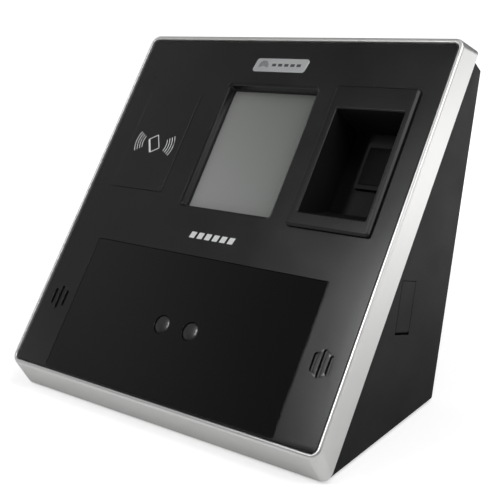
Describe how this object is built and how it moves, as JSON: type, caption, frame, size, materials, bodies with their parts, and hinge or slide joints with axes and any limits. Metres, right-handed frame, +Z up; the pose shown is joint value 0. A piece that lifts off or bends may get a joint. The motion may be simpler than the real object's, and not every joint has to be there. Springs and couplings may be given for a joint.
{
  "type": "fingerprint scanner terminal",
  "caption": "Wedge-shaped desk or wall terminal with a display, a sunken fingerprint reader, a card reading pad and a dark camera window in a silver frame.",
  "frame": {"origin": "bottom centre of the object's box, on the plane that it stands on", "axes": "+Z up, +Y towards the back, +X to the right of someone facing the front panel"},
  "size_m": [0.201, 0.1534, 0.1713],
  "materials": {
    "silver_paint": "satin silver paint",
    "black_plastic": "satin black moulded plastic",
    "reader_plastic": "satin black moulded plastic, fine spark-eroded grain",
    "housing_plastic": "matt black moulded plastic, fine grain",
    "dark_acrylic": "polished black acrylic",
    "badge_metal": "brushed light silver",
    "touch_glass": "smooth glass with a soft matt film",
    "platen_glass": "polished",
    "lens_glass": "coated and polished",
    "foam": "fine closed-cell foam",
    "rubber": "matt",
    "bare_metal": "plated, satin",
    "steel": "zinc plated",
    "screw_steel": "zinc plated",
    "brass": "bare",
    "circuit_board": "green solder resist",
    "chip_plastic": "matt moulding",
    "barrel_plastic": "matt",
    "led_epoxy": "clear dark epoxy",
    "flex_film": "amber film",
    "ribbon_cable": "matt",
    "wire_black": "satin",
    "wire_red": "satin",
    "battery_wrap": "shrink film",
    "green_plastic": "satin",
    "blue_plastic": "satin",
    "red_plastic": "satin",
    "white_plastic": "satin"
  },
  "bodies": {
    "terminal": {"silver_frame": "silver_paint", "front_panel": "black_plastic", "panel_seal": "rubber", "ir_window": "dark_acrylic", "card_pad": "black_plastic", "badge_plate": "badge_metal", "touch_glass": "touch_glass", "lcd_gasket": "foam", "lcd_module": "bare_metal", "display_bracket": "steel", "display_flex": "flex_film", "fingerprint_bezel": "reader_plastic", "fingerprint_holder": "reader_plastic", "fingerprint_platen": "platen_glass", "fingerprint_board": "circuit_board", "fingerprint_cable": "ribbon_cable", "card_antenna_board": "circuit_board", "antenna_lead": "wire_black", "camera_board": "circuit_board", "camera_barrel_left": "barrel_plastic", "camera_barrel_right": "barrel_plastic", "camera_lens_left": "lens_glass", "camera_lens_right": "lens_glass", "camera_flex": "flex_film", "ir_led_board_left": "circuit_board", "ir_led_board_right": "circuit_board", "ir_leds": "led_epoxy", "speaker_left": "barrel_plastic", "speaker_right": "barrel_plastic", "speaker_leads": "wire_red", "microphone": "rubber", "main_board": "circuit_board", "processor_shield": "bare_metal", "board_components": "chip_plastic", "coin_cell_holder": "chip_plastic", "coin_cell": "bare_metal", "board_standoffs": "brass", "battery_pack": "battery_wrap", "battery_strap": "steel", "battery_lead": "wire_red", "rear_housing": "housing_plastic", "base_plate": "housing_plastic", "rubber_feet": "rubber", "io_board": "circuit_board", "ethernet_jack": "bare_metal", "power_jack": "chip_plastic", "terminal_block": "green_plastic", "usb_port": "bare_metal", "usb_door_pin": "steel", "reset_switch": "bare_metal", "tamper_switch": "blue_plastic", "wall_bracket": "steel", "bracket_lock_screw": "screw_steel", "panel_screws": "screw_steel", "board_screws": "screw_steel", "housing_screws": "screw_steel", "base_screws": "screw_steel"},
    "usb_door": {"usb_door": "housing_plastic"},
    "reset_button": {"reset_button": "red_plastic"},
    "tamper_plunger": {"tamper_plunger": "white_plastic"}
  },
  "joints": [
    {"name": "usb_door_hinge", "type": "hinge", "parent": "terminal", "child": "usb_door", "pos_m": [0.0966, -0.00395, 0.04723], "axis": [0, 0.9449, -0.3272], "range_deg": [0, 90]},
    {"name": "reset_press", "type": "slide", "parent": "terminal", "child": "reset_button", "axis": [0, -0.9449, 0.3272], "range_m": [0, 0.0008], "stiffness_N_per_m": 400, "springref_m": -0.0012},
    {"name": "tamper_press", "type": "slide", "parent": "terminal", "child": "tamper_plunger", "axis": [0, -0.9449, 0.3272], "range_m": [0, 0.0015], "stiffness_N_per_m": 300, "springref_m": -0.0015}
  ]
}
